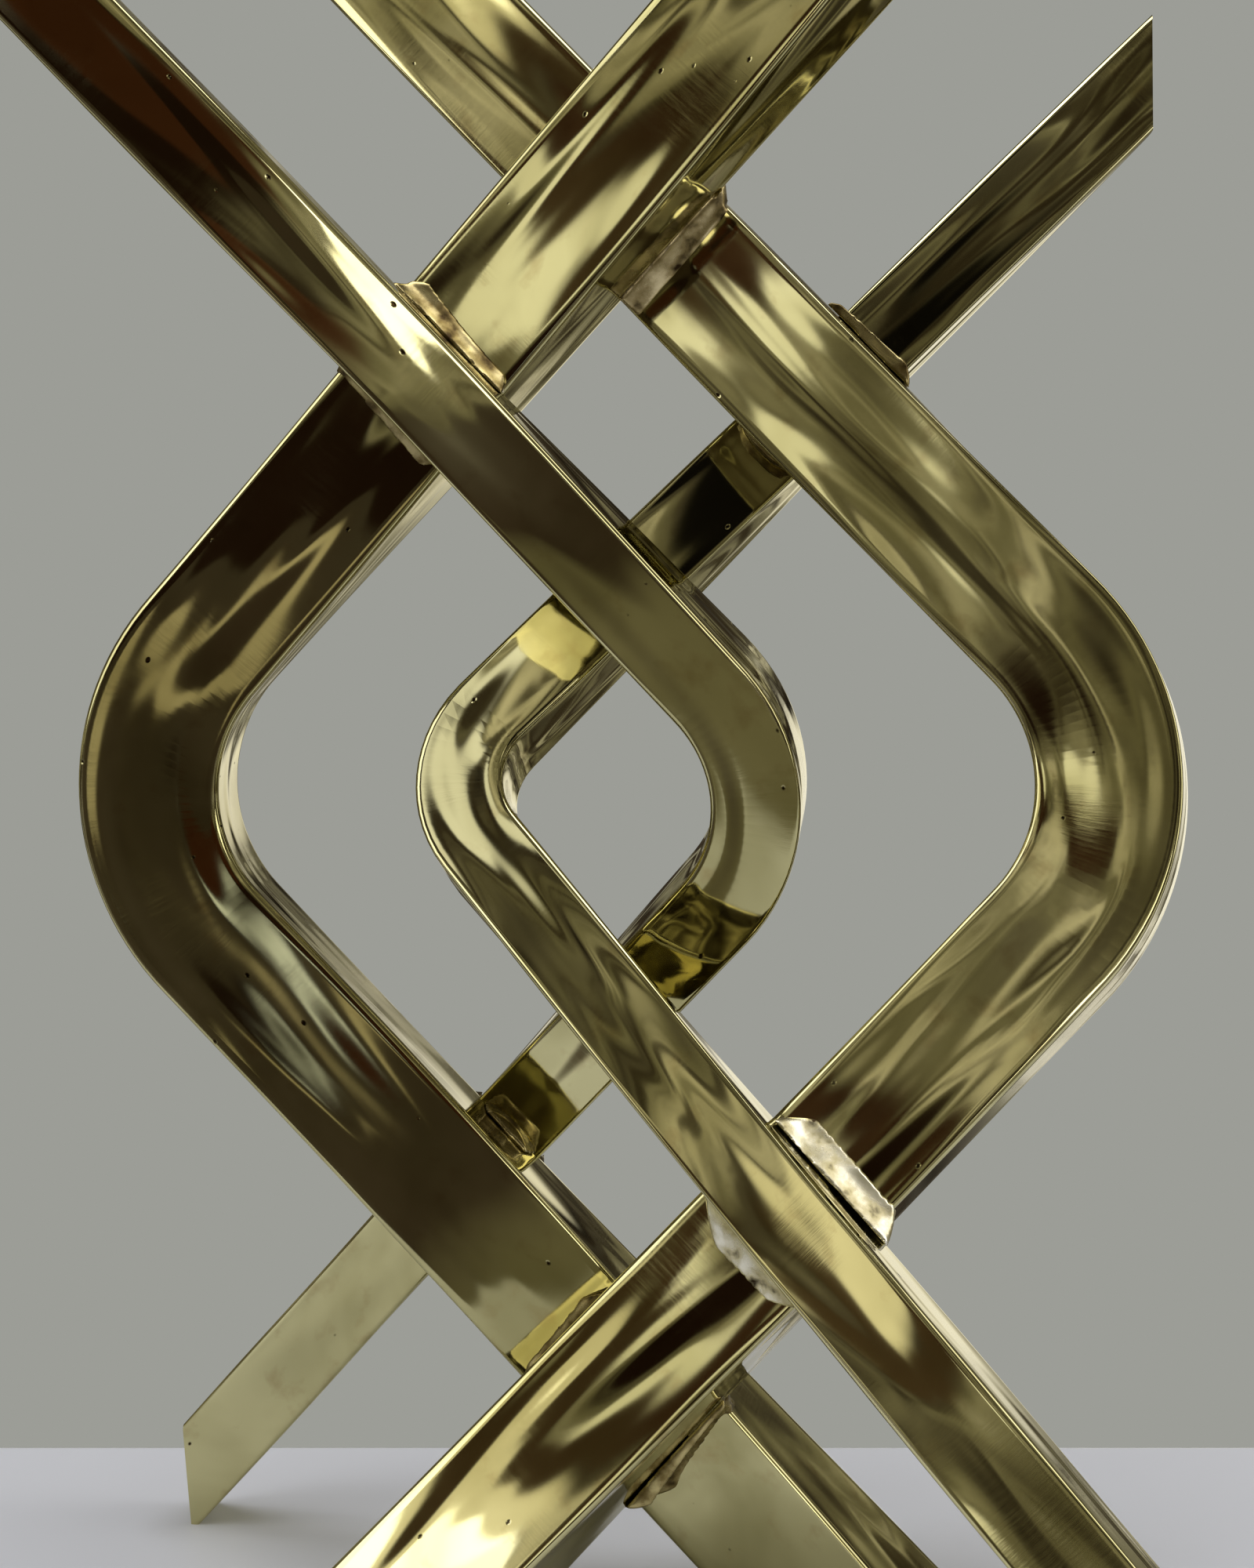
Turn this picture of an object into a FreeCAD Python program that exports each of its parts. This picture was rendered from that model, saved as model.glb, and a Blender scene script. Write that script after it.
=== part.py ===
import FreeCAD, Part
import Sketcher
import math
import os
from FreeCAD import Placement, Rotation, Vector

# Knotted brass bar sculpture. Four bars, each bent once into a V that lies on its side,
# cross in front of and behind each other. The two light inner bars and the two heavy
# outer bars each have one elbow on the right and one on the left.
# Millimetres, +Z up, -Y towards the viewer, origin on the table below the centre.

# Driving dimensions: lengths in millimetres, angles in degrees.
SIZES = [
    ("inner_bar_width", 15.5),
    ("inner_bar_depth", 15.5),
    ("outer_bar_width", 24.5),
    ("outer_bar_depth", 20.0),
    ("edge_break", 0.7),
    ("elbow_height", 142.0),
    ("foot_grind", 1.3),
    ("inner_reach", 33.3),
    ("outer_reach", 96.5),
    ("inner_lean", 43.3),
    ("outer_lean", 43.5),
    ("inner_right_elbow", 30.0),
    ("inner_left_elbow", 18.0),
    ("outer_right_elbow", 38.0),
    ("outer_left_elbow", 38.0),
    ("joint_gap", 1.0),
    ("seat_gap", 0.4),
    ("small_fillet", 2.4),
    ("wide_fillet", 5.0),
    ("fillet_web", 0.4),
    ("inner_right_roll_top", 0.0),
    ("inner_right_roll_elbow", 0.0),
    ("inner_right_roll_bottom", -5.0),
    ("inner_left_roll_top", -9.0),
    ("inner_left_roll_elbow", 0.0),
    ("inner_left_roll_bottom", 3.0),
    ("outer_right_roll_top", 5.0),
    ("outer_right_roll_elbow", 6.0),
    ("outer_right_roll_bottom", 22.0),
    ("outer_left_roll_top", 13.0),
    ("outer_left_roll_elbow", -6.0),
    ("outer_left_roll_bottom", 16.0),
]

# name, which weight of bar, side of the elbow, where the upper arm goes in depth
BARS = [
    ("inner_bar_right", "inner", "inner_right", 1, -1),
    ("inner_bar_left", "inner", "inner_left", -1, 1),
    ("outer_bar_right", "outer", "outer_right", 1, 1),
    ("outer_bar_left", "outer", "outer_left", -1, -1),
]

# name, bar in front, bar behind it, upper or lower half, size of the hollow fillet
JOINTS = [
    ("braze_front_top", "inner_bar_right", "outer_bar_left", 1, "small_fillet"),
    ("braze_centre_top", "outer_bar_left", "outer_bar_right", 1, "small_fillet"),
    ("braze_back_top", "outer_bar_right", "inner_bar_left", 1, "small_fillet"),
    ("braze_front_bottom", "inner_bar_left", "outer_bar_right", -1, "wide_fillet"),
    ("braze_centre_bottom", "outer_bar_right", "outer_bar_left", -1, "small_fillet"),
    ("braze_back_bottom", "outer_bar_left", "inner_bar_right", -1, "small_fillet"),
]

# Distance of a hollow's axis from both faces it joins, as a share of the fillet's size.
HOLLOW_SHARE = 2.1

os.makedirs("parts", exist_ok=True)
doc = FreeCAD.newDocument("KnottedBars")

sheet = doc.addObject("Spreadsheet::Sheet", "Sizes")
for row, (alias, value) in enumerate(SIZES, start=1):
    sheet.set("A%d" % row, alias)
    sheet.set("B%d" % row, str(value))
    sheet.setAlias("B%d" % row, alias)
doc.recompute()


def size(alias):
    return float(sheet.get(alias))


def tangent_of(angle):
    return math.tan(math.radians(angle))


def depth_slopes():
    """Run in depth per height, so that crossing bars just clear by the joint gap."""
    outer_tan = tangent_of(size("outer_lean"))
    inner_tan = tangent_of(size("inner_lean"))
    outer_cross = size("outer_reach") / outer_tan
    mixed_cross = (size("inner_reach") + size("outer_reach")) / (inner_tan + outer_tan)
    outer = (size("outer_bar_depth") + size("joint_gap")) / (2 * outer_cross)
    half_depths = (size("inner_bar_depth") + size("outer_bar_depth")) / 2
    inner = outer + (half_depths + size("joint_gap")) / mixed_cross
    return {"inner": inner, "outer": outer}, {"outer": outer_cross, "mixed": mixed_cross}


SLOPES, CROSSINGS = depth_slopes()


class BentBar:
    """Centre line and turning cross-section of one bent bar."""

    def __init__(self, name, weight, key, side, lean_way):
        self.name = name
        self.weight = weight
        self.side = side
        self.lean_way = lean_way
        self.width = size(weight + "_bar_width")
        self.depth = size(weight + "_bar_depth")
        self.reach = size(weight + "_reach")
        self.bend = size(key + "_elbow")
        self.bend_alias = key + "_elbow"
        self.rolls = [size(key + "_roll_" + place) for place in ("top", "elbow", "bottom")]
        self.run = lean_way * SLOPES[weight]
        self.stretch = math.sqrt(1 + self.run * self.run)
        self.front_lean = math.radians(size(weight + "_lean"))
        # the lean within the bar's own plane, which tips backwards
        self.lean = math.atan(math.tan(self.front_lean) / self.stretch)
        self.bend_centre = self.reach - self.bend / math.cos(self.lean)
        self.bend_rise = self.bend * math.sin(self.lean)
        self.bend_height = self.bend_rise / self.stretch
        self.arm_height = size("elbow_height") + self.width

    def roll(self, height, right, front, upward):
        """Turn of the section about the centre line, none round the bend.

        On the arms it is counted from the section that faces the viewer squarely.
        """
        top, elbow, bottom = self.rolls
        end = top if height > 0 else bottom
        own = math.radians(elbow)
        if abs(height) <= self.bend_height:
            return own
        share = height / size("elbow_height")
        turned = math.radians(elbow + (end - elbow) * share * share)
        towards_viewer = Vector(0, -1, 0)
        square_on = math.atan2(-towards_viewer.dot(right), towards_viewer.dot(front))
        ease = min((abs(height) - self.bend_height) / (CROSSINGS["mixed"] - self.bend_height), 1)
        return own + (turned + square_on - own) * ease

    def frame(self, height):
        """Centre, right-hand axis, viewer-side axis and upward axis of the section."""
        rise = height * self.stretch
        if abs(rise) >= self.bend_rise:
            across = self.reach - abs(rise) * math.tan(self.lean)
            angle = math.copysign(self.lean, rise)
        else:
            angle = math.asin(rise / self.bend)
            across = self.bend_centre + self.bend * math.cos(angle)
        centre = Vector(self.side * across, self.run * height, height + size("elbow_height"))
        upward = Vector(0, self.run, 1) * (math.cos(angle) / self.stretch)
        upward = upward - Vector(self.side * math.sin(angle), 0, 0)
        front = Vector(0, -1, self.run)
        front.normalize()
        right = upward.cross(front)
        turn = self.roll(height, right, front, upward)
        turned_right = right * math.cos(turn) + front * math.sin(turn)
        turned_front = front * math.cos(turn) - right * math.sin(turn)
        return centre, turned_right, turned_front, upward


bars = {row[0]: BentBar(*row) for row in BARS}


def tie(sketch, constraint, name, formula):
    """Add a named size to a sketch and bind it to the sheet."""
    index = sketch.addConstraint(constraint)
    sketch.renameConstraint(index, name)
    sketch.setExpression("Constraints." + name, formula)


def axes_placement(origin, across, along, normal):
    return Placement(origin, Rotation(across, along, normal, "XYZ"))


def section_sketch(body, bar, place, height):
    """Rectangle with its four edges broken, square to the bar at one height."""
    sketch = body.newObject("Sketcher::SketchObject", "%s_section_%s" % (bar.name, place))
    centre, right, front, upward = bar.frame(height)
    sketch.Placement = axes_placement(centre, right, front.negative(), upward)
    across = bar.width / 2
    along = bar.depth / 2
    broken = size("edge_break")
    quarter = [Vector(across - broken, -along, 0), Vector(across, broken - along, 0)]
    right_side = quarter + [Vector(p.x, -p.y, 0) for p in reversed(quarter)]
    corners = right_side + [p.negative() for p in right_side]
    count = len(corners)
    for piece in range(count):
        sketch.addGeometry(Part.LineSegment(corners[piece - 1], corners[piece]), False)
    for piece in range(count):
        following = (piece + 1) % count
        sketch.addConstraint(Sketcher.Constraint("Coincident", piece, 2, following, 1))
    # sides 0 and 4 lie across the bar, sides 2 and 6 along its depth
    for piece, axis in ((0, -2), (4, -2), (2, -1), (6, -1)):
        sketch.addConstraint(Sketcher.Constraint("Symmetric", piece, 1, piece, 2, axis))
    sketch.addConstraint(Sketcher.Constraint("Symmetric", 2, 1, 6, 2, -2))
    sketch.addConstraint(Sketcher.Constraint("Symmetric", 0, 1, 4, 2, -1))
    tie(sketch, Sketcher.Constraint("DistanceX", 6, 1, 2, 1, bar.width), "width",
        "Sizes.%s_bar_width" % bar.weight)
    tie(sketch, Sketcher.Constraint("DistanceY", 0, 1, 4, 1, bar.depth), "depth",
        "Sizes.%s_bar_depth" % bar.weight)
    tie(sketch, Sketcher.Constraint("DistanceX", 1, 1, 1, 2, broken), "break_across",
        "Sizes.edge_break")
    tie(sketch, Sketcher.Constraint("DistanceY", 1, 1, 1, 2, broken), "break_along",
        "Sizes.edge_break")
    return sketch


def frame_rectangle(sketch, first, half_width, low, high, names, formulas):
    """Closed rectangle, mirrored about the upright axis, with three bound sizes."""
    corners = [Vector(-half_width, low, 0), Vector(half_width, low, 0),
               Vector(half_width, high, 0), Vector(-half_width, high, 0)]
    for i in range(4):
        sketch.addGeometry(Part.LineSegment(corners[i], corners[(i + 1) % 4]), False)
    for i in range(4):
        following = first + (i + 1) % 4
        sketch.addConstraint(Sketcher.Constraint("Coincident", first + i, 2, following, 1))
    sketch.addConstraint(Sketcher.Constraint("Symmetric", first, 1, first, 2, -2))
    sketch.addConstraint(Sketcher.Constraint("Vertical", first + 1))
    sketch.addConstraint(Sketcher.Constraint("Horizontal", first + 2))
    sketch.addConstraint(Sketcher.Constraint("Vertical", first + 3))
    tie(sketch, Sketcher.Constraint("DistanceX", first, 1, first, 2, 2 * half_width),
        names[0], formulas[0])
    tie(sketch, Sketcher.Constraint("DistanceY", first, 2, first + 2, 1, high - low),
        names[1], formulas[1])
    return corners


def sawn_half_width(bar):
    """Half the width inside which the bar is left; only inner bars are sawn upright."""
    if bar.weight == "outer":
        return size("outer_reach") + size("outer_bar_width")
    corner_rise = bar.width / 2 / math.sin(bar.front_lean)
    saw_height = size("elbow_height") + size("foot_grind") - corner_rise
    return saw_height * math.tan(bar.front_lean) - bar.reach


def trim_sketch(body, bar):
    """Everything outside a tall rectangle, seen from the front."""
    sketch = body.newObject("Sketcher::SketchObject", bar.name + "_trim")
    planes = [f for f in body.Origin.OriginFeatures if f.Role == "XZ_Plane"]
    sketch.AttachmentSupport = [(planes[0], "")]
    sketch.MapMode = "FlatFace"
    margin = size("outer_reach")
    height = 2 * size("elbow_height")
    kept = sawn_half_width(bar)
    if bar.weight == "outer":
        kept_width = "2 * (Sizes.outer_reach + Sizes.outer_bar_width)"
    else:
        kept_width = ("2 * ((Sizes.elbow_height + Sizes.foot_grind - Sizes.inner_bar_width / 2"
                      " / sin(Sizes.inner_lean * 1 deg)) * tan(Sizes.inner_lean * 1 deg)"
                      " - Sizes.inner_reach)")
    frame_rectangle(sketch, 0, kept, 0, height, ("kept_width", "kept_height"),
                    (kept_width, "2 * Sizes.elbow_height"))
    sketch.addConstraint(Sketcher.Constraint("PointOnObject", 0, 1, -1))
    waste = size("outer_reach") + size("outer_bar_width") + margin
    frame_rectangle(sketch, 4, waste, -margin, height + margin, ("waste_width", "waste_height"),
                    ("2 * (2 * Sizes.outer_reach + Sizes.outer_bar_width)",
                     "2 * Sizes.elbow_height + 2 * Sizes.outer_reach"))
    tie(sketch, Sketcher.Constraint("DistanceY", 4, 1, 0, 1, margin), "below",
        "Sizes.outer_reach")
    return sketch


def bend_axis(body, bar):
    """Line that the elbow is bent round, square to the bar's tipped plane."""
    axis = body.newObject("PartDesign::Line", bar.name + "_bend_axis")
    front = Vector(0, -1, bar.run)
    front.normalize()
    centre = Vector(bar.side * bar.bend_centre, 0, size("elbow_height"))
    axis.Placement = Placement(centre, Rotation(Vector(0, 0, 1), front))
    return axis


def make_bar(bar):
    """One bar: the elbow, a twisted straight arm at each end of it, then both ends sawn."""
    body = doc.addObject("PartDesign::Body", bar.name + "_body")
    bend = body.newObject("PartDesign::Revolution", bar.name + "_bend")
    bend.Profile = section_sketch(body, bar, "elbow", 0)
    bend.ReferenceAxis = (bend_axis(body, bar), [""])
    bend.Midplane = True
    bend.setExpression("Angle", "2 * atan(tan(Sizes.%s_lean * 1 deg) / %r)"
                       % (bar.weight, bar.stretch))
    doc.recompute()
    heights = [bar.bend_height, CROSSINGS["mixed"], bar.arm_height]
    for place, sign in (("top", 1), ("bottom", -1)):
        for step, span in enumerate(zip(heights, heights[1:])):
            part_name = "%s_%d" % (place, step)
            near = section_sketch(body, bar, part_name + "_near", sign * span[0])
            far = section_sketch(body, bar, part_name + "_far", sign * span[1])
            doc.recompute()
            arm = body.newObject("PartDesign::AdditiveLoft", "%s_arm_%s" % (bar.name, part_name))
            arm.Profile = near
            arm.Sections = [far]
            arm.Ruled = True
            doc.recompute()
    before = body.Shape.Volume
    saw = body.newObject("PartDesign::Pocket", bar.name + "_saw")
    saw.Profile = trim_sketch(body, bar)
    saw.Type = "ThroughAll"
    saw.SideType = "Symmetric"
    doc.recompute()
    sawn_off = before - body.Shape.Volume
    if not bar.width * bar.width * bar.depth < sawn_off < before / 2:
        raise RuntimeError(bar.name + ": the ends were not sawn")
    return body


bodies = {name: make_bar(bar) for name, bar in bars.items()}


def cut_away(name, base, tool):
    cut = doc.addObject("Part::Cut", name)
    cut.Base = base
    cut.Tool = tool
    return cut


def joint_height(front_name, back_name, sign):
    same = bars[front_name].weight == bars[back_name].weight
    return sign * CROSSINGS["outer" if same else "mixed"]


def seat_block(name, front_bar, back_bar, height):
    """Block that cuts a shallow flat seat in the back bar for the bar in front of it."""
    block = doc.addObject("Part::Box", name)
    block.setExpression("Length", "Sizes.%s_bar_width + 2 * Sizes.seat_gap" % front_bar.weight)
    block.setExpression("Width", "Sizes.%s_bar_depth + Sizes.seat_gap" % front_bar.weight)
    block.setExpression("Height", "3 * Sizes.%s_bar_width" % back_bar.weight)
    doc.recompute()
    centre, right, front, upward = front_bar.frame(height)
    corner = centre - right * (block.Length.Value / 2) - upward * (block.Height.Value / 2)
    corner = corner - front * (front_bar.depth / 2 + size("seat_gap"))
    # the width of the block runs towards the viewer, so its length runs to the left
    corner = corner + right * block.Length.Value
    block.Placement = axes_placement(corner, right.negative(), front, upward)
    return block


# Every bar that lies behind another is ground to shallow seats for the ones in front.
nodes = dict(bodies)
for joint, front_name, back_name, sign, fillet in JOINTS:
    height = joint_height(front_name, back_name, sign)
    block = seat_block(joint + "_seat", bars[front_name], bars[back_name], height)
    nodes[back_name] = cut_away("%s_%s_seated" % (back_name, joint), nodes[back_name], block)
doc.recompute()
for name in bars:
    nodes[name].Label = name


def rod(name, middle, direction, radius, length):
    """Cylinder centred on a point, with its radius and length bound to the sheet."""
    cylinder = doc.addObject("Part::Cylinder", name)
    cylinder.setExpression("Radius", radius)
    cylinder.setExpression("Height", length)
    doc.recompute()
    start = middle - direction * (cylinder.Height.Value / 2)
    cylinder.Placement = Placement(start, Rotation(Vector(0, 0, 1), direction))
    return cylinder


def hollow_axis(middle, face_point, face_normal, flank_point, flank_normal, distance):
    """Point and direction of the line at one distance from a face and from a flank."""
    skew = face_normal.dot(flank_normal)
    face_need = distance - (middle - face_point).dot(face_normal)
    flank_need = distance - (middle - flank_point).dot(flank_normal)
    scale = 1 - skew * skew
    along_face = (face_need - flank_need * skew) / scale
    along_flank = (flank_need - face_need * skew) / scale
    direction = flank_normal.cross(face_normal)
    direction.normalize()
    return middle + face_normal * along_face + flank_normal * along_flank, direction


def make_braze(joint, front_bar, back_bar, height, fillet):
    """Filler of one crossing: a round plug, hollowed along four flanks, less both bars."""
    front_centre, front_right, front_front, front_up = front_bar.frame(height)
    back_centre, back_right, back_front, back_up = back_bar.frame(height)
    front_seat = front_centre - front_front * (front_bar.depth / 2)
    back_seat = back_centre + back_front * (back_bar.depth / 2)
    middle = (front_seat + back_seat) * 0.5
    axis = front_front + back_front
    axis.normalize()
    widths = "Sizes.%s_bar_width ^ 2 + Sizes.%s_bar_width ^ 2" % (front_bar.weight, back_bar.weight)
    radius = "sqrt(%s) / 2 + Sizes.fillet_web" % widths
    length = "Sizes.joint_gap + 2 * %r * Sizes.%s" % (HOLLOW_SHARE, fillet)
    filler = rod(joint + "_plug", middle, axis, radius, length)

    hollow_radius = "sqrt(%r ^ 2 + (%r - 1) ^ 2) * Sizes.%s" % (HOLLOW_SHARE, HOLLOW_SHARE, fillet)
    hollow_length = "2 * (%s)" % radius.replace("/ 2", "")
    distance = HOLLOW_SHARE * size(fillet)
    pairs = [(back_seat, back_front, front_centre, front_right, front_bar),
             (front_seat, front_front.negative(), back_centre, back_right, back_bar)]
    for index, (face_point, face_normal, centre, right, bar) in enumerate(pairs):
        for flank in (-1, 1):
            normal = right * flank
            flank_point = centre + normal * (bar.width / 2)
            point, direction = hollow_axis(middle, face_point, face_normal, flank_point,
                                           normal, distance)
            name = "%s_hollow_%d%s" % (joint, index, "ab"[flank > 0])
            tool = rod(name, point, direction, hollow_radius, hollow_length)
            filler = cut_away(name + "_cut", filler, tool)
    for bar in (front_bar, back_bar):
        filler = cut_away("%s_less_%s" % (joint, bar.name), filler, nodes[bar.name])
    doc.recompute()
    # crumbs that the hollows leave beside the crossing are wiped off
    ground = doc.addObject("Part::Feature", joint + "_ground")
    ground.Shape = max(filler.Shape.Solids, key=lambda solid: solid.Volume)
    ground.Label = joint
    return ground


for joint, front_name, back_name, sign, fillet in JOINTS:
    height = joint_height(front_name, back_name, sign)
    nodes[joint] = make_braze(joint, bars[front_name], bars[back_name], height, fillet)

doc.recompute()

for thing in doc.Objects:
    if "Invalid" in thing.State or "Error" in thing.State:
        raise RuntimeError(thing.Name + " failed: " + str(thing.State))
for name, node in nodes.items():
    shape = node.Shape
    if shape.isNull() or not shape.isValid() or len(shape.Solids) != 1:
        raise RuntimeError("%s is not one sound solid (%d solids)" % (name, len(shape.Solids)))

for name, node in nodes.items():
    node.Shape.exportStep("parts/%s.step" % name)
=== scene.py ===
import math

import bpy
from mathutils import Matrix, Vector


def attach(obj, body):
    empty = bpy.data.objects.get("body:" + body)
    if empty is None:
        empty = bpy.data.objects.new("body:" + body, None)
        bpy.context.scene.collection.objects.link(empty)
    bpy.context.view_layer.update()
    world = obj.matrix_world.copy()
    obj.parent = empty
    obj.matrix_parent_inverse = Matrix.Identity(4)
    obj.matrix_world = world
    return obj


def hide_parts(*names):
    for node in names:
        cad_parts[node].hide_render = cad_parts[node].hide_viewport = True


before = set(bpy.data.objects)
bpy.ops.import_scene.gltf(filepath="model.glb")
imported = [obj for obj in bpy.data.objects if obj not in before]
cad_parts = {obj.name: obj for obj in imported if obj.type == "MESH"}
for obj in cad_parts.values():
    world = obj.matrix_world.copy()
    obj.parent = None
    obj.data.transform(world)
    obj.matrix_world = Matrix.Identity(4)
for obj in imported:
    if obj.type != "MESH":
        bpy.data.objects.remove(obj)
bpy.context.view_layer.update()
mm = 0.001
cutTolerance = 0.001 * mm  # how near a cut may pass to a point without moving onto it

# Sizes in millimetres and degrees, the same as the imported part's
sculpture = {"elbowHeight": 142, "jointGap": 1.0, "footGrind": 1.3,
             "innerWidth": 15.5, "innerDepth": 15.5, "innerReach": 33.3, "innerLean": 43.3,
             "outerWidth": 24.5, "outerDepth": 20, "outerReach": 96.5, "outerLean": 43.5}


def hexColour(text):
    # sRGB hex to the linear values that the shaders take, by the sRGB standard's own curve
    channels = [int(text[i:i + 2], 16) / 255 for i in (1, 3, 5)]
    return tuple(c / 12.92 if c <= 0.04045 else ((c + 0.055) / 1.055) ** 2.4 for c in channels) + (1,)


def addNode(tree, kind, settings=None, **inputs):
    # inputs are named, or i0, i1 ... by place; a socket given as value is linked
    node = tree.nodes.new(kind)
    for name, value in (settings or {}).items():
        setattr(node, name, value)
    for name, value in inputs.items():
        byPlace = name[0] == "i" and name[1:].isdigit()
        socket = node.inputs[int(name[1:])] if byPlace else node.inputs[name.replace("_", " ")]
        if isinstance(value, bpy.types.NodeSocket):
            tree.links.new(value, socket)
        else:
            socket.default_value = value
    return node


def fillRamp(node, stops):
    # stops are pairs of a place and a hex colour, or a place and a grey level
    elements = node.color_ramp.elements
    while len(elements) < len(stops):
        elements.new(0.5)
    for element, (place, colour) in zip(elements, stops):
        element.position = place
        element.color = hexColour(colour) if isinstance(colour, str) else (colour,) * 3 + (1,)
    return node.outputs["Color"]


def applyModifier(piece, name, kind, **settings):
    # adds a modifier to the active piece and applies it at once
    modifier = piece.modifiers.new(name, kind)
    for setting, value in settings.items():
        setattr(modifier, setting, value)
    bpy.ops.object.modifier_apply(modifier=modifier.name)


def cutAll(point, facing, sawOff=False):
    # cuts the whole mesh by a plane, in edit mode; sawn off, it loses what the plane faces
    bpy.ops.mesh.select_all(action="SELECT")
    bpy.ops.mesh.bisect(plane_co=point, plane_no=facing, use_fill=sawOff, clear_outer=sawOff,
                        threshold=cutTolerance)


def faceOutwards():
    bpy.ops.mesh.select_all(action="SELECT")
    bpy.ops.mesh.normals_make_consistent(inside=False)


# Depth slopes of the two pairs, and how far from the elbows an inner bar meets an outer one
outerTan = math.tan(math.radians(sculpture["outerLean"]))
innerTan = math.tan(math.radians(sculpture["innerLean"]))
outerCross = sculpture["outerReach"] / outerTan
mixedCross = (sculpture["innerReach"] + sculpture["outerReach"]) / (innerTan + outerTan)
outerSlope = (sculpture["outerDepth"] + sculpture["jointGap"]) / (2 * outerCross)
stackStep = (sculpture["innerDepth"] + sculpture["outerDepth"]) / 2 + sculpture["jointGap"]
innerSlope = outerSlope + stackStep / mixedCross
elbowHeight = sculpture["elbowHeight"] * mm


def barFrame(bar, height):
    # centre, right-hand and viewer-side directions of the section, at a height above the elbow
    pair = bar["pair"]
    run = bar["way"] * (innerSlope if pair == "inner" else outerSlope)
    stretch = math.sqrt(1 + run * run)
    lean = math.atan(math.tan(math.radians(sculpture[pair + "Lean"])) / stretch)
    bend = bar["bend"] * mm
    reach = sculpture[pair + "Reach"] * mm
    bendCentre = reach - bend / math.cos(lean)
    bendRise = bend * math.sin(lean)
    rise = height * stretch
    if abs(rise) >= bendRise:
        across = reach - abs(rise) * math.tan(lean)
        angle = math.copysign(lean, rise)
    else:
        angle = math.asin(rise / bend)
        across = bendCentre + bend * math.cos(angle)
    centre = Vector((bar["side"] * across, run * height, height + elbowHeight))
    upward = Vector((-bar["side"] * math.sin(angle), run * math.cos(angle) / stretch,
                     math.cos(angle) / stretch))
    front = Vector((0, -1, run)).normalized()
    right = upward.cross(front)

    # the twist eases from the elbow's own roll to square on to the viewer at the crossing, and
    # from there a roll grows towards the end
    top, elbow, bottom = bar["rolls"]
    end = top if height > 0 else bottom
    bendHeight = bendRise / stretch
    turn = math.radians(elbow)
    if abs(height) > bendHeight:
        share = height / elbowHeight
        turned = math.radians(elbow + (end - elbow) * share * share)
        viewer = Vector((0, -1, 0))
        squareOn = math.atan2(-viewer.dot(right), viewer.dot(front))
        ease = min((abs(height) - bendHeight) / (mixedCross * mm - bendHeight), 1)
        turn += (turned + squareOn - turn) * ease
    return (centre, right * math.cos(turn) + front * math.sin(turn),
            front * math.cos(turn) - right * math.sin(turn))


# How finely a bar is cut up before it is bent: its lengths, and where along its section
barMesh = {"lengths": 200, "sectionShares": (-0.41, -0.2, 0, 0.2, 0.41), "edgeSteps": 3,
           "sharpFrom": 40}


def makeBar(bar):
    # a straight block with soft edges, cut into short lengths, then bent, twisted and sawn
    width = sculpture[bar["pair"] + "Width"] * mm
    depth = sculpture[bar["pair"] + "Depth"] * mm
    length = 2 * elbowHeight + 2 * width
    bpy.ops.object.select_all(action="DESELECT")
    bpy.ops.mesh.primitive_cube_add(size=1, location=(0, 0, 0), scale=(width, depth, length))
    block = bpy.context.object
    block.name = bar["node"] + "_polished"
    bpy.ops.object.transform_apply(location=True, rotation=True, scale=True)
    applyModifier(block, "softEdges", "BEVEL", width=bar["edge"] * mm,
                  segments=barMesh["edgeSteps"], limit_method="ANGLE")
    bpy.ops.object.mode_set(mode="EDIT")
    for step in range(1, barMesh["lengths"]):
        cutAll((0, 0, length * (step / barMesh["lengths"] - 0.5)), (0, 0, 1))
    for share in barMesh["sectionShares"]:
        cutAll((share * width, 0, 0), (1, 0, 0))
        cutAll((0, share * depth, 0), (0, 1, 0))
    bpy.ops.object.mode_set(mode="OBJECT")

    # hand polishing leaves the faces uneven, always on the inside of the stock size; the block
    # stands at its own place while it reads the texture, so that no two bars are alike
    handPolish = bpy.data.textures.new(bar["node"] + "_handPolish", "CLOUDS")
    handPolish.noise_scale = bar["waveLength"] * mm
    handPolish.noise_depth = 0
    block.location.x = bar["seed"]
    bpy.context.view_layer.update()
    applyModifier(block, "uneven", "DISPLACE", texture=handPolish, texture_coords="GLOBAL",
                  strength=bar["waveHeight"] * mm, mid_level=1.0)
    block.location.x = 0

    # each point keeps its place on the straight bar, so that the finish follows the bar
    place = block.data.attributes.new("barPlace", "FLOAT_VECTOR", "POINT")
    for index, vertex in enumerate(block.data.vertices):
        place.data[index].vector = vertex.co
    for vertex in block.data.vertices:
        centre, right, front = barFrame(bar, vertex.co.z)
        vertex.co = centre + right * vertex.co.x - front * vertex.co.y

    # sawn level at the table and the top; the inner bars are sawn upright at their tips too
    saws = [((0, 0, 0), (0, 0, -1)), ((0, 0, 2 * elbowHeight), (0, 0, 1))]
    if bar["pair"] == "inner":
        lean = math.radians(sculpture["innerLean"])
        halfAlong = sculpture["innerWidth"] / 2 / math.sin(lean)
        drop = sculpture["elbowHeight"] + sculpture["footGrind"] - halfAlong
        tip = (drop * math.tan(lean) - sculpture["innerReach"]) * mm
        saws += [((tip, 0, 0), (1, 0, 0)), ((-tip, 0, 0), (-1, 0, 0))]
    bpy.ops.object.mode_set(mode="EDIT")
    for point, facing in saws:
        cutAll(point, facing, sawOff=True)
    faceOutwards()
    bpy.ops.object.mode_set(mode="OBJECT")
    bpy.ops.object.shade_smooth_by_angle(angle=math.radians(barMesh["sharpFrom"]))
    return block


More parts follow.
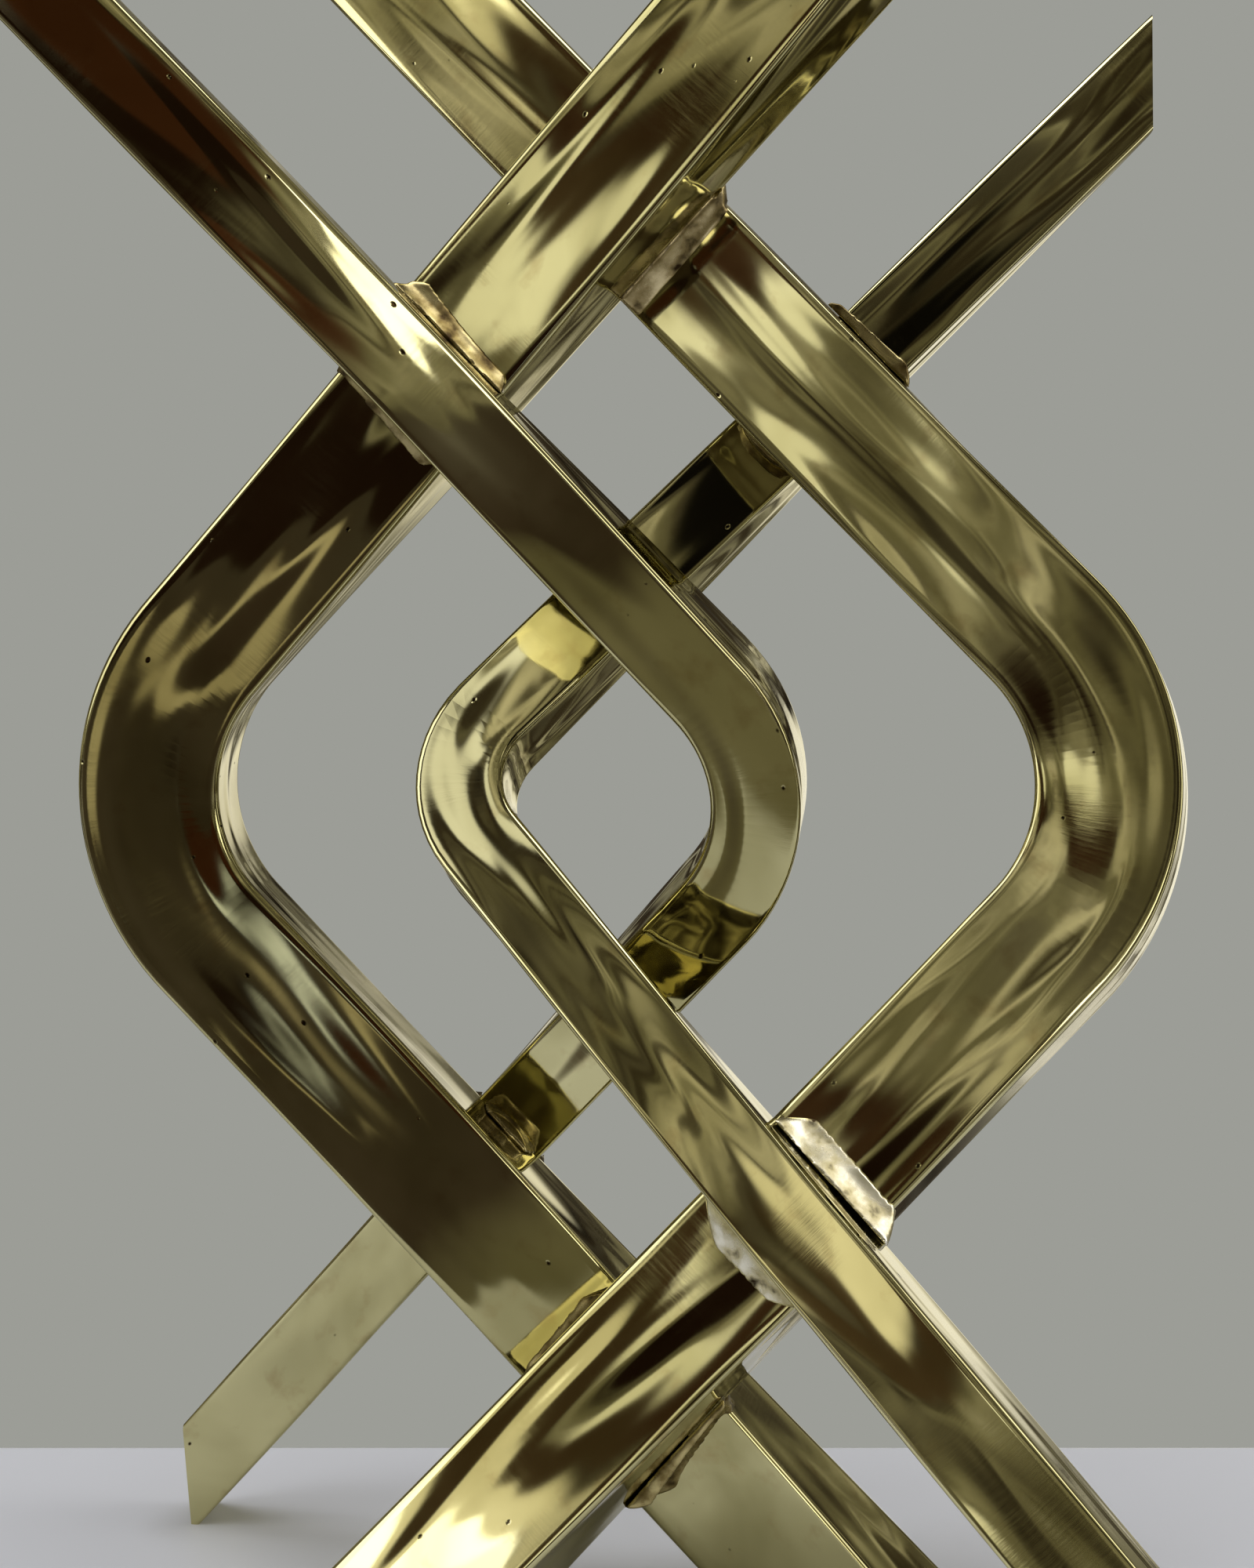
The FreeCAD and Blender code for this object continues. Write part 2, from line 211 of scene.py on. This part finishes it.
# Finish of the bars: sizes and heights in millimetres, turns in radians. Stops are the noise
# levels between which a pattern comes in. The seeds put the bars far out in the patterns, so
# a small change of a size moves its pattern along the bars
castFinish = {"seedShares": (1, 0.37, 0.11),
              "toneDrift": 28.5714, "toneStops": (0.36, 0.62),
              "stain": 5, "stainStops": (0.58, 0.78), "stainMost": 0.4, "stainTone": "#8A6E3C",
              "pitsApart": 7, "pitFloor": 0.21, "pitRim": 0.42, "pitHeight": 0.3,
              "pitTone": "#2A1C0C",
              "scratchLong": 8.33333, "scratchApart": 0.3125, "scratchHeight": 0.007,
              "scratchStops": (0.35, 0.75), "scratchRoughness": 0.09,
              "wornPatch": 20, "wornStops": (0.50, 0.68),
              "rippleWide": 28.5714, "rippleLong": 76.9231, "rippleTurn": (0.25, 0.4, 0.0),
              "strokeWide": 10, "strokeLong": 55.5556, "strokeTurn": (0.1, -0.12, 0.0)}


def polishedCastBrass(bar):
    # brass cast, then mirror polished by hand: slow ripples bend the reflections, fine scratches
    # run across the bar in patches, and the casting leaves a few pits and faint brown stains
    finish = castFinish
    material = bpy.data.materials.new("polished cast brass " + bar["node"])
    material.use_nodes = True
    tree = material.node_tree
    shader = tree.nodes["Principled BSDF"]
    shader.inputs["Metallic"].default_value = 1.0
    place = addNode(tree, "ShaderNodeAttribute", {"attribute_name": "barPlace"}).outputs["Vector"]
    ownPlace = addNode(tree, "ShaderNodeVectorMath", {"operation": "ADD"}, i0=place,
                       i1=tuple(bar["seed"] * share for share in finish["seedShares"]))
    inMm = addNode(tree, "ShaderNodeVectorMath", {"operation": "SCALE"}, i0=ownPlace.outputs[0],
                   Scale=1 / mm).outputs[0]

    # the tone drifts from deep to pale along the bar, with small brown stains
    tone = addNode(tree, "ShaderNodeTexNoise", Vector=inMm, Scale=1 / finish["toneDrift"],
                   Detail=3.0, Distortion=0.6)
    body = fillRamp(addNode(tree, "ShaderNodeValToRGB", Fac=tone.outputs["Fac"]),
                    list(zip(finish["toneStops"], (bar["deepTone"], bar["paleTone"]))))
    stain = addNode(tree, "ShaderNodeTexNoise", Vector=inMm, Scale=1 / finish["stain"], Detail=5.0)
    stainShare = fillRamp(addNode(tree, "ShaderNodeValToRGB", Fac=stain.outputs["Fac"]),
                          list(zip(finish["stainStops"], (0.0, finish["stainMost"]))))
    colour = addNode(tree, "ShaderNodeMix", {"data_type": "RGBA"}, i0=stainShare, i6=body,
                     i7=hexColour(finish["stainTone"]))

    # pits in the casting are under 1 mm across and dark inside
    pits = addNode(tree, "ShaderNodeTexVoronoi", Vector=inMm, Scale=1 / finish["pitsApart"])
    pitWall = fillRamp(addNode(tree, "ShaderNodeValToRGB", Fac=pits.outputs["Distance"]),
                       [(finish["pitFloor"] / finish["pitsApart"], 0.0),
                        (finish["pitRim"] / finish["pitsApart"], 1.0)])
    pitted = addNode(tree, "ShaderNodeMix", {"data_type": "RGBA"}, i0=pitWall,
                     i6=hexColour(finish["pitTone"]), i7=colour.outputs[2])
    tree.links.new(pitted.outputs[2], shader.inputs["Base Color"])

    # scratches lie across the bar, in worn patches
    finest = (1 / finish["scratchLong"], 1 / finish["scratchLong"], 1 / finish["scratchApart"])
    grain = addNode(tree, "ShaderNodeVectorMath", {"operation": "MULTIPLY"}, i0=inMm, i1=finest)
    scratches = addNode(tree, "ShaderNodeTexNoise", Vector=grain.outputs[0], Scale=1.0, Detail=4.0,
                        Roughness=0.7)
    worn = addNode(tree, "ShaderNodeTexNoise", Vector=inMm, Scale=1 / finish["wornPatch"], Detail=2.0)
    wornShare = fillRamp(addNode(tree, "ShaderNodeValToRGB", Fac=worn.outputs["Fac"]),
                         list(zip(finish["wornStops"], (0.0, 1.0))))
    scratchRough = addNode(tree, "ShaderNodeMapRange", Value=scratches.outputs["Fac"],
                           From_Min=finish["scratchStops"][0], From_Max=finish["scratchStops"][1],
                           To_Min=bar["roughness"],
                           To_Max=bar["roughness"] + finish["scratchRoughness"])
    roughness = addNode(tree, "ShaderNodeMix", {"data_type": "FLOAT"}, i0=wornShare,
                        i2=bar["roughness"], i3=scratchRough.outputs[0])
    tree.links.new(roughness.outputs[0], shader.inputs["Roughness"])

    # slow ripples slant over the bar, and the strokes of the polishing wheel run along it
    slanted = addNode(tree, "ShaderNodeMapping", Vector=inMm, Rotation=finish["rippleTurn"],
                      Scale=(1 / finish["rippleWide"], 1 / finish["rippleWide"],
                             1 / finish["rippleLong"]))
    ripple = addNode(tree, "ShaderNodeTexNoise", Vector=slanted.outputs[0], Scale=1.0, Detail=0.5,
                     Distortion=0.7)
    lengthwise = addNode(tree, "ShaderNodeMapping", Vector=inMm, Rotation=finish["strokeTurn"],
                         Scale=(1 / finish["strokeWide"], 1 / finish["strokeWide"],
                                1 / finish["strokeLong"]))
    strokes = addNode(tree, "ShaderNodeTexNoise", Vector=lengthwise.outputs[0], Scale=1.0, Detail=0.5,
                      Distortion=0.5)
    scratchHeight = addNode(tree, "ShaderNodeMath", {"operation": "MULTIPLY"},
                            i0=scratches.outputs["Fac"], i1=wornShare)
    bumped = addNode(tree, "ShaderNodeBump", Strength=1.0, Distance=bar["rippleHeight"] * mm,
                     Height=ripple.outputs["Fac"])
    bumped = addNode(tree, "ShaderNodeBump", Strength=1.0, Distance=bar["strokeHeight"] * mm,
                     Height=strokes.outputs["Fac"], Normal=bumped.outputs[0])
    bumped = addNode(tree, "ShaderNodeBump", Strength=0.15, Distance=finish["pitHeight"] * mm,
                     Height=pitWall, Normal=bumped.outputs[0])
    bumped = addNode(tree, "ShaderNodeBump", Strength=0.5, Distance=finish["scratchHeight"] * mm,
                     Height=scratchHeight.outputs[0], Normal=bumped.outputs[0])
    tree.links.new(bumped.outputs[0], shader.inputs["Normal"])
    return material


def finishBar(bar):
    piece = makeBar(bar)
    piece.data.materials.append(polishedCastBrass(bar))
    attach(piece, "root")
    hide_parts(bar["node"])
    print("bar finished:", bar["node"], len(piece.data.polygons), "faces")


# In each bar, side 1 puts the elbow on the viewer's right, and way 1 brings the foot forward.
# Bend and edge are radii in mm, the rolls are its twist in degrees at the top, elbow and foot,
# and the seed picks its own part of the patterns

# Inner bar with its elbow on the viewer's right, in front at the top
innerBarRight = {"node": "inner_bar_right", "pair": "inner", "side": 1, "way": -1, "bend": 30,
                 "rolls": (0, 0, -5), "seed": 1.7, "edge": 0.9,
                 "waveLength": 34, "waveHeight": 0.4, "rippleHeight": 2.8, "strokeHeight": 0.9,
                 "deepTone": "#A9A272", "paleTone": "#CAC392", "roughness": 0.055}
finishBar(innerBarRight)

# Inner bar with its elbow on the viewer's left, in front at the bottom
innerBarLeft = {"node": "inner_bar_left", "pair": "inner", "side": -1, "way": 1, "bend": 18,
                "rolls": (-9, 0, 3), "seed": 4.1, "edge": 0.9,
                "waveLength": 34, "waveHeight": 0.4, "rippleHeight": 2.8, "strokeHeight": 0.9,
                "deepTone": "#ABA475", "paleTone": "#CCC595", "roughness": 0.05}
finishBar(innerBarLeft)

# Heavy outer bar with its elbow on the viewer's right
outerBarRight = {"node": "outer_bar_right", "pair": "outer", "side": 1, "way": 1, "bend": 38,
                 "rolls": (5, 6, 22), "seed": 7.9, "edge": 1.0,
                 "waveLength": 42, "waveHeight": 0.5, "rippleHeight": 3.2, "strokeHeight": 0.8,
                 "deepTone": "#ACA575", "paleTone": "#CDC697", "roughness": 0.055}
finishBar(outerBarRight)

# Heavy outer bar with its elbow on the viewer's left
outerBarLeft = {"node": "outer_bar_left", "pair": "outer", "side": -1, "way": -1, "bend": 38,
                "rolls": (13, -6, 16), "seed": 11.3, "edge": 1.0,
                "waveLength": 42, "waveHeight": 0.5, "rippleHeight": 2.2, "strokeHeight": 0.5,
                "deepTone": "#A0996A", "paleTone": "#C5BE8D", "roughness": 0.055}
finishBar(outerBarLeft)

# Brazes: filler run into the gaps and ground hollow, a little wavy, with burnt specks left in it
fillerFinish = {"speck": 4, "burntTone": "#2E2214", "speckStops": (0.30, 0.42, 0.62),
                "bumpHeight": 0.15, "roughStops": (0.3, 0.7), "burntRoughness": 0.36,
                "groundRoughness": 0.18}
fillerMesh = {"merged": 0.005, "softenings": 12, "waveLength": 6, "waveHeight": 0.3}


def groundBrazeBrass(braze):
    # brass filler ground by hand: paler and duller than the bars, darker where the wheel missed it
    finish = fillerFinish
    material = bpy.data.materials.new("ground braze brass " + braze["node"])
    material.use_nodes = True
    tree = material.node_tree
    shader = tree.nodes["Principled BSDF"]
    shader.inputs["Metallic"].default_value = 1.0
    place = addNode(tree, "ShaderNodeTexCoord").outputs["Object"]
    inMm = addNode(tree, "ShaderNodeVectorMath", {"operation": "SCALE"}, i0=place, Scale=1 / mm)
    specks = addNode(tree, "ShaderNodeTexNoise", Vector=inMm.outputs[0], Scale=1 / finish["speck"],
                     Detail=4.0, Roughness=0.5)
    # the filler and ground tones come from each braze; some are darkened as painted shade, and one is
    # near white as a painted highlight
    tones = (finish["burntTone"], braze["filler"], braze["ground"])
    colour = fillRamp(addNode(tree, "ShaderNodeValToRGB", Fac=specks.outputs["Fac"]),
                      list(zip(finish["speckStops"], tones)))
    tree.links.new(colour, shader.inputs["Base Color"])
    rough = addNode(tree, "ShaderNodeMapRange", Value=specks.outputs["Fac"],
                    From_Min=finish["roughStops"][0], From_Max=finish["roughStops"][1],
                    To_Min=finish["burntRoughness"], To_Max=finish["groundRoughness"])
    tree.links.new(rough.outputs[0], shader.inputs["Roughness"])
    bump = addNode(tree, "ShaderNodeBump", Strength=0.3, Distance=finish["bumpHeight"] * mm,
                   Height=specks.outputs["Fac"])
    tree.links.new(bump.outputs[0], shader.inputs["Normal"])
    return material


def addWedge(filler, wedgeSizes):
    # a strip of filler along one edge of the bar in front, ground to a slope
    bar = wedgeSizes["along"]
    centre, right, front = barFrame(bar, wedgeSizes["height"] * mm)
    upward = front.cross(right)
    width = sculpture[bar["pair"] + "Width"]
    depth = sculpture[bar["pair"] + "Depth"]
    corner = centre + right * (width / 2 * mm) - front * ((depth / 2 + sculpture["jointGap"]) * mm)
    leg, sunk, span = wedgeSizes["leg"], wedgeSizes["sunk"], wedgeSizes["span"]
    middle = (leg - sunk) / 2 * mm
    bpy.ops.object.select_all(action="DESELECT")
    bpy.ops.mesh.primitive_cube_add(size=1, location=(middle, middle, 0),
                                    scale=((leg + sunk) * mm, (leg + sunk) * mm, span * mm))
    wedge = bpy.context.object
    bpy.ops.object.transform_apply(location=True, rotation=True, scale=True)
    bpy.ops.object.mode_set(mode="EDIT")
    cutAll((leg / 2 * mm, leg / 2 * mm, 0), (1, 1, 0), sawOff=True)
    bpy.ops.object.mode_set(mode="OBJECT")
    for vertex in wedge.data.vertices:
        vertex.co = corner + right * vertex.co.x + front * vertex.co.y + upward * vertex.co.z
    bpy.ops.object.mode_set(mode="EDIT")
    faceOutwards()
    bpy.ops.object.mode_set(mode="OBJECT")
    filler.select_set(True)
    bpy.context.view_layer.objects.active = filler
    bpy.ops.object.join()


def finishBraze(braze):
    # a copy of the part's own solid, swollen slightly to meet both bars, its faces made even
    bpy.ops.object.select_all(action="DESELECT")
    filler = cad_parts[braze["node"]].copy()
    filler.data = filler.data.copy()
    filler.name = braze["node"] + "_ground"
    bpy.context.scene.collection.objects.link(filler)
    filler.parent = None
    filler.select_set(True)
    bpy.context.view_layer.objects.active = filler
    bpy.ops.object.mode_set(mode="EDIT")
    bpy.ops.mesh.select_all(action="SELECT")
    bpy.ops.mesh.remove_doubles(threshold=fillerMesh["merged"] * mm)
    bpy.ops.object.mode_set(mode="OBJECT")
    applyModifier(filler, "swollen", "DISPLACE", strength=braze["swell"] * mm, mid_level=0.0)
    if "wedge" in braze:
        addWedge(filler, braze["wedge"])
    applyModifier(filler, "evenFaces", "REMESH", mode="VOXEL", voxel_size=braze["voxel"] * mm)
    applyModifier(filler, "softened", "SMOOTH", iterations=fillerMesh["softenings"])
    waves = bpy.data.textures.new(braze["node"] + "_waves", "CLOUDS")
    waves.noise_scale = fillerMesh["waveLength"] * mm
    waves.noise_depth = 0
    applyModifier(filler, "wavy", "DISPLACE", texture=waves, texture_coords="LOCAL",
                  strength=fillerMesh["waveHeight"] * mm, mid_level=0.5)
    bpy.ops.object.shade_smooth()
    filler.data.materials.clear()
    filler.data.materials.append(groundBrazeBrass(braze))
    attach(filler, "root")
    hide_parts(braze["node"])
    print("braze finished:", braze["node"], len(filler.data.polygons), "faces")


# Dark brown where a bar passes in front at the top: the filler's own brown, darkened further as
# painted shade under that bar
brazeFrontTop = {"node": "braze_front_top", "voxel": 0.3, "swell": 0.4,
                 "filler": "#6B5C38", "ground": "#A3966A"}
finishBraze(brazeFrontTop)

# The middle of the top has a ground strip beside the heavy bar in front
brazeCentreTop = {"node": "braze_centre_top", "voxel": 0.3, "swell": 0.4,
                  "filler": "#94845C", "ground": "#C9BA90",
                  "wedge": {"along": outerBarLeft, "height": 100, "leg": 3.2, "sunk": 1.5,
                            "span": 23.5}}
finishBraze(brazeCentreTop)

# Dark brown filler tones: painted shade for the dark gap behind the bars in front
brazeBackTop = {"node": "braze_back_top", "voxel": 0.3, "swell": 0.4,
                "filler": "#6B5C38", "ground": "#A3966A"}
finishBraze(brazeBackTop)

# The widest hollow; its near-white tones are a painted highlight
brazeFrontBottom = {"node": "braze_front_bottom", "voxel": 0.3, "swell": 0.4,
                    "filler": "#C4BA94", "ground": "#F0EBD6"}
finishBraze(brazeFrontBottom)

brazeCentreBottom = {"node": "braze_centre_bottom", "voxel": 0.3, "swell": 0.4,
                     "filler": "#7C6C42", "ground": "#B5A774"}
finishBraze(brazeCentreBottom)

# Dark brown filler tones: painted shade in the gap behind the bar in front
brazeBackBottom = {"node": "braze_back_bottom", "voxel": 0.3, "swell": 0.4,
                   "filler": "#6B5C38", "ground": "#A3966A"}
finishBraze(brazeBackBottom)

# White table under it, square to the camera
yaw = math.radians(8.4)


def fromCamera(sideways, away, height):
    # a place given as the camera sees it: to its right, away from it, and up
    return Vector((sideways * math.cos(yaw) - away * math.sin(yaw),
                   sideways * math.sin(yaw) + away * math.cos(yaw), height))


# Sizes in metres; places on the board are to the right of the sculpture and away from the viewer
tableTop = {"width": 3.0, "depth": 1.0, "farEdge": 0.12, "thick": 0.04, "rounding": 0.006,
            "roundingSteps": 4, "colour": "#D6D9E2", "roughness": 0.45}
# The board's colour as the brass mirrors it is painted: a dark tone, a grey patch and a pale round
# patch, all painted reflections
mirroredBoard = {"dimNearer": -0.15, "soft": 0.012, "dimTone": "#2C1B12",
                 "leftOf": (-0.065, -0.05), "leftShift": 0.045,
                 "greyNearer": (-0.40, -0.34), "greyRightOf": (-0.09, -0.05), "greyTone": "#77735F",
                 "paintedReflectionAt": (-0.23, -0.58), "paintedReflectionRadii": (0.04, 0.065), "paintedReflectionTone": "#D8CDB0"}
boardMiddle = tableTop["farEdge"] - tableTop["depth"] / 2
bpy.ops.object.select_all(action="DESELECT")
bpy.ops.mesh.primitive_cube_add(size=1, rotation=(0, 0, yaw),
                                location=fromCamera(0, boardMiddle, -tableTop["thick"] / 2),
                                scale=(tableTop["width"], tableTop["depth"], tableTop["thick"]))
table = bpy.context.object
table.name = "table"
roundedEdge = table.modifiers.new("roundedEdge", "BEVEL")
roundedEdge.width = tableTop["rounding"]
roundedEdge.segments = tableTop["roundingSteps"]
bpy.ops.object.transform_apply(location=False, rotation=False, scale=True)

# Lacquered board: a soft even white, with a blurred sheen
lacquer = bpy.data.materials.new("white lacquered board")
lacquer.use_nodes = True
tree = lacquer.node_tree
shader = tree.nodes["Principled BSDF"]
shader.inputs["Roughness"].default_value = tableTop["roughness"]

# for glossy rays the board stays white only round the feet; nearer the viewer its colour is painted
# dark, a painted reflection of a dim room for the brass to mirror
onBoard = addNode(tree, "ShaderNodeTexCoord").outputs["Object"]
acrossAway = addNode(tree, "ShaderNodeSeparateXYZ", Vector=onBoard)
leftShift = addNode(tree, "ShaderNodeMapRange", Value=acrossAway.outputs["X"],
                    From_Min=mirroredBoard["leftOf"][0], From_Max=mirroredBoard["leftOf"][1],
                    To_Min=mirroredBoard["leftShift"], To_Max=0.0)
shiftedAway = addNode(tree, "ShaderNodeMath", {"operation": "SUBTRACT"}, i0=acrossAway.outputs["Y"],
                      i1=leftShift.outputs[0])
dimFrom = mirroredBoard["dimNearer"] - boardMiddle
near = addNode(tree, "ShaderNodeMapRange", Value=shiftedAway.outputs[0],
               From_Min=dimFrom - mirroredBoard["soft"], From_Max=dimFrom, To_Min=1.0, To_Max=0.0)

# in that dark part a pale round patch and a grey patch are painted too, both painted reflections
paintedReflectionAcross, paintedReflectionAway = mirroredBoard["paintedReflectionAt"]
paintedReflection = addNode(tree, "ShaderNodeVectorMath", {"operation": "DISTANCE"}, i0=onBoard,
                i1=(paintedReflectionAcross, paintedReflectionAway - boardMiddle, tableTop["thick"] / 2))
paintedReflectionShare = addNode(tree, "ShaderNodeMapRange", Value=paintedReflection.outputs["Value"],
                     From_Min=mirroredBoard["paintedReflectionRadii"][0], From_Max=mirroredBoard["paintedReflectionRadii"][1],
                     To_Min=1.0, To_Max=0.0)
nearer = addNode(tree, "ShaderNodeMapRange", Value=acrossAway.outputs["Y"],
                 From_Min=mirroredBoard["greyNearer"][0] - boardMiddle,
                 From_Max=mirroredBoard["greyNearer"][1] - boardMiddle)
beside = addNode(tree, "ShaderNodeMapRange", Value=acrossAway.outputs["X"],
                 From_Min=mirroredBoard["greyRightOf"][0], From_Max=mirroredBoard["greyRightOf"][1])
greyShare = addNode(tree, "ShaderNodeMath", {"operation": "MULTIPLY"}, i0=nearer.outputs[0],
                    i1=beside.outputs[0])
shade = addNode(tree, "ShaderNodeMix", {"data_type": "RGBA"}, i0=greyShare.outputs[0],
                i6=hexColour(mirroredBoard["dimTone"]), i7=hexColour(mirroredBoard["greyTone"]))
dim = addNode(tree, "ShaderNodeMix", {"data_type": "RGBA"}, i0=paintedReflectionShare.outputs[0],
              i6=shade.outputs[2], i7=hexColour(mirroredBoard["paintedReflectionTone"]))
# only glossy rays see the painted reflections; the camera and the lamps see the white board
isMirrored = addNode(tree, "ShaderNodeLightPath")
dimShare = addNode(tree, "ShaderNodeMath", {"operation": "MULTIPLY"}, i0=near.outputs[0],
                   i1=isMirrored.outputs["Is Glossy Ray"])
board = addNode(tree, "ShaderNodeMix", {"data_type": "RGBA"}, i0=dimShare.outputs[0],
                i6=hexColour(tableTop["colour"]), i7=dim.outputs[2])
tree.links.new(board.outputs[2], shader.inputs["Base Color"])
table.data.materials.append(lacquer)
print("table set")

# The room as the brass mirrors it, in degrees: azimuth 0 is behind the camera, positive to its
# right, and the second number is how high it is. Soft is the width of a shape's edge
roomShapes = {
    "sofa": {"at": (-16, -7), "radius": 11, "soft": 2, "colour": "#1C110B"},
    "coat": {"at": (-7, -6), "radius": 5, "soft": 2, "colour": "#3A2114"},
    "doorway": {"at": (8, 31), "radius": 5.5, "soft": 2, "colour": "#0D0B09"},
    "curtain": {"at": (27, 25), "radius": 1.5, "soft": 1.5, "colour": "#2A231B"},
    "farWindow": {"at": (-28.5, 7), "radius": 2.2, "soft": 0.8, "colour": "#FFFDF0"},
    "paleWall": {"at": (-42, 12), "radius": 4.5, "soft": 2, "colour": "#F2EBD3"},
    "cupboard": {"at": (-25, 11.5), "radius": 1.8, "soft": 1.0, "colour": "#2E1D12"},
    "cupboardSide": {"at": (-29, 12), "radius": 2.4, "soft": 1.2, "colour": "#38261A"},
    "chairBack": {"at": (-34, 9.5), "radius": 2.6, "soft": 1.5, "colour": "#3F3223"},
    "lampGlint": {"at": (-15.5, -6), "radius": 0.8, "soft": 1.6, "colour": "#E6EDF7"},
    "ceilingLamp": {"at": (-23, 40), "radius": 1.5, "soft": 1.5, "colour": "#FFFFFF"},
    "sideWindow": {"at": (168, 0), "radius": 4, "soft": 6, "colour": "#E8E2CC"},
}
# Behind them is clutter crossed by level shelves; scales are counted on a sphere of radius 1
roomLook = {"strength": 1.3, "backdrop": "#9C9D97", "bendScale": 2.5, "bend": 0.25,
            "clutterScale": 6.5, "clutterTurn": (0.4, 0.2, 1.1), "clutterStretch": (1.0, 1.0, 1.6),
            "clutterStops": [(0.34, "#1D1914"), (0.44, "#524D42"), (0.54, "#77735F"),
                             (0.68, "#CBC5B2")],
            "shelfScale": (5.0, 5.0, 26.0), "shelfTone": "#2B2319",
            "shelfStops": [(0.41, 0.9), (0.43, 0.0), (0.50, 0.0), (0.512, 0.9), (0.524, 0.0),
                           (0.56, 0.0), (0.572, 0.9), (0.584, 0.0)]}
world = bpy.data.worlds.new("room")
bpy.context.scene.world = world
world.use_nodes = True
tree = world.node_tree
tree.nodes.clear()
direction = addNode(tree, "ShaderNodeTexCoord").outputs["Generated"]

# the directions are bent a little, so that no shape has a clean round edge; 0.5 is the
# noise's middle level
unevenness = addNode(tree, "ShaderNodeTexNoise", Vector=direction, Scale=roomLook["bendScale"],
                     Detail=1.0)
centred = addNode(tree, "ShaderNodeVectorMath", {"operation": "SUBTRACT"},
                  i0=unevenness.outputs["Color"], i1=(0.5, 0.5, 0.5))
pushed = addNode(tree, "ShaderNodeVectorMath", {"operation": "MULTIPLY_ADD"}, i0=centred.outputs[0],
                 i1=(roomLook["bend"],) * 3, i2=direction)
waved = addNode(tree, "ShaderNodeVectorMath", {"operation": "NORMALIZE"},
                i0=pushed.outputs[0]).outputs[0]

turned = addNode(tree, "ShaderNodeMapping", Vector=direction, Rotation=roomLook["clutterTurn"],
                 Scale=roomLook["clutterStretch"])
clutter = addNode(tree, "ShaderNodeTexNoise", Vector=turned.outputs[0],
                  Scale=roomLook["clutterScale"], Detail=2.5, Distortion=0.6)
room = fillRamp(addNode(tree, "ShaderNodeValToRGB", Fac=clutter.outputs["Fac"]),
                roomLook["clutterStops"])
flatter = addNode(tree, "ShaderNodeVectorMath", {"operation": "MULTIPLY"}, i0=waved,
                  i1=roomLook["shelfScale"])
shelves = addNode(tree, "ShaderNodeTexNoise", Vector=flatter.outputs[0], Scale=1.0, Detail=2.0,
                  Distortion=0.3)
shelfShare = fillRamp(addNode(tree, "ShaderNodeValToRGB", Fac=shelves.outputs["Fac"]),
                      roomLook["shelfStops"])
room = addNode(tree, "ShaderNodeMix", {"data_type": "RGBA"}, i0=shelfShare, i6=room,
               i7=hexColour(roomLook["shelfTone"])).outputs[2]
for shape in roomShapes.values():
    azimuth, elevation = (math.radians(angle) for angle in shape["at"])
    towards = fromCamera(math.sin(azimuth) * math.cos(elevation),
                         -math.cos(azimuth) * math.cos(elevation), math.sin(elevation))
    nearness = addNode(tree, "ShaderNodeVectorMath", {"operation": "DOT_PRODUCT"}, i0=waved,
                       i1=towards)
    share = addNode(tree, "ShaderNodeMapRange", {"interpolation_type": "SMOOTHSTEP"},
                    Value=nearness.outputs["Value"],
                    From_Min=math.cos(math.radians(shape["radius"] + shape["soft"])),
                    From_Max=math.cos(math.radians(shape["radius"])))
    room = addNode(tree, "ShaderNodeMix", {"data_type": "RGBA"}, i0=share.outputs[0], i6=room,
                   i7=hexColour(shape["colour"])).outputs[2]

# the camera sees a plain backdrop, and the brass the room
backdrop = addNode(tree, "ShaderNodeBackground", Color=hexColour(roomLook["backdrop"]), Strength=1.0)
mirrored = addNode(tree, "ShaderNodeBackground", Color=room, Strength=roomLook["strength"])
rays = addNode(tree, "ShaderNodeLightPath")
chosen = addNode(tree, "ShaderNodeMixShader", i0=rays.outputs["Is Camera Ray"],
                 i1=mirrored.outputs[0], i2=backdrop.outputs[0])
addNode(tree, "ShaderNodeOutputWorld", Surface=chosen.outputs[0])

# Soft studio lamps, placed in metres as the camera sees them, with their power in watts
lamps = {
    "overhead": {"at": (0.05, -0.15, 0.95), "size": (0.8, 0.6), "power": 6.5, "colour": "#FBFBFF"},
    "leftFront": {"at": (-0.75, -0.55, 0.55), "size": (0.5, 0.9), "power": 3.0, "colour": "#FDFDFF"},
    "rightSide": {"at": (0.85, -0.1, 0.45), "size": (0.5, 1.0), "power": 3.0, "colour": "#FFFDFA"},
    "lowFront": {"at": (0.25, -0.95, 0.12), "size": (0.5, 0.15), "power": 0.8, "colour": "#FFFDFA"},
}
aim = Vector((0, 0, elbowHeight))
for lampName, lamp in lamps.items():
    lampData = bpy.data.lights.new(lampName, "AREA")
    lampData.shape = "RECTANGLE"
    lampData.size, lampData.size_y = lamp["size"]
    lampData.energy = lamp["power"]
    lampData.color = hexColour(lamp["colour"])[:3]
    light = bpy.data.objects.new(lampName, lampData)
    bpy.context.scene.collection.objects.link(light)
    light.location = fromCamera(*lamp["at"])
    light.rotation_euler = (aim - light.location).to_track_quat("-Z", "Y").to_euler()
print("room and lamps set")

# Camera level with the elbows, turned a little to the left, in millimetres
viewpoint = {"lens": 59.1, "sensor": 36, "away": 440, "height": 143, "sideways": 0.6}
cameraData = bpy.data.cameras.new("camera")
cameraData.lens = viewpoint["lens"]
cameraData.sensor_width = viewpoint["sensor"]
camera = bpy.data.objects.new("camera", cameraData)
bpy.context.scene.collection.objects.link(camera)
camera.location = fromCamera(viewpoint["sideways"] * mm, -viewpoint["away"] * mm,
                             viewpoint["height"] * mm)
camera.rotation_euler = (math.radians(90), 0, yaw)
bpy.context.scene.camera = camera
bpy.context.scene.view_settings.view_transform = "Standard"
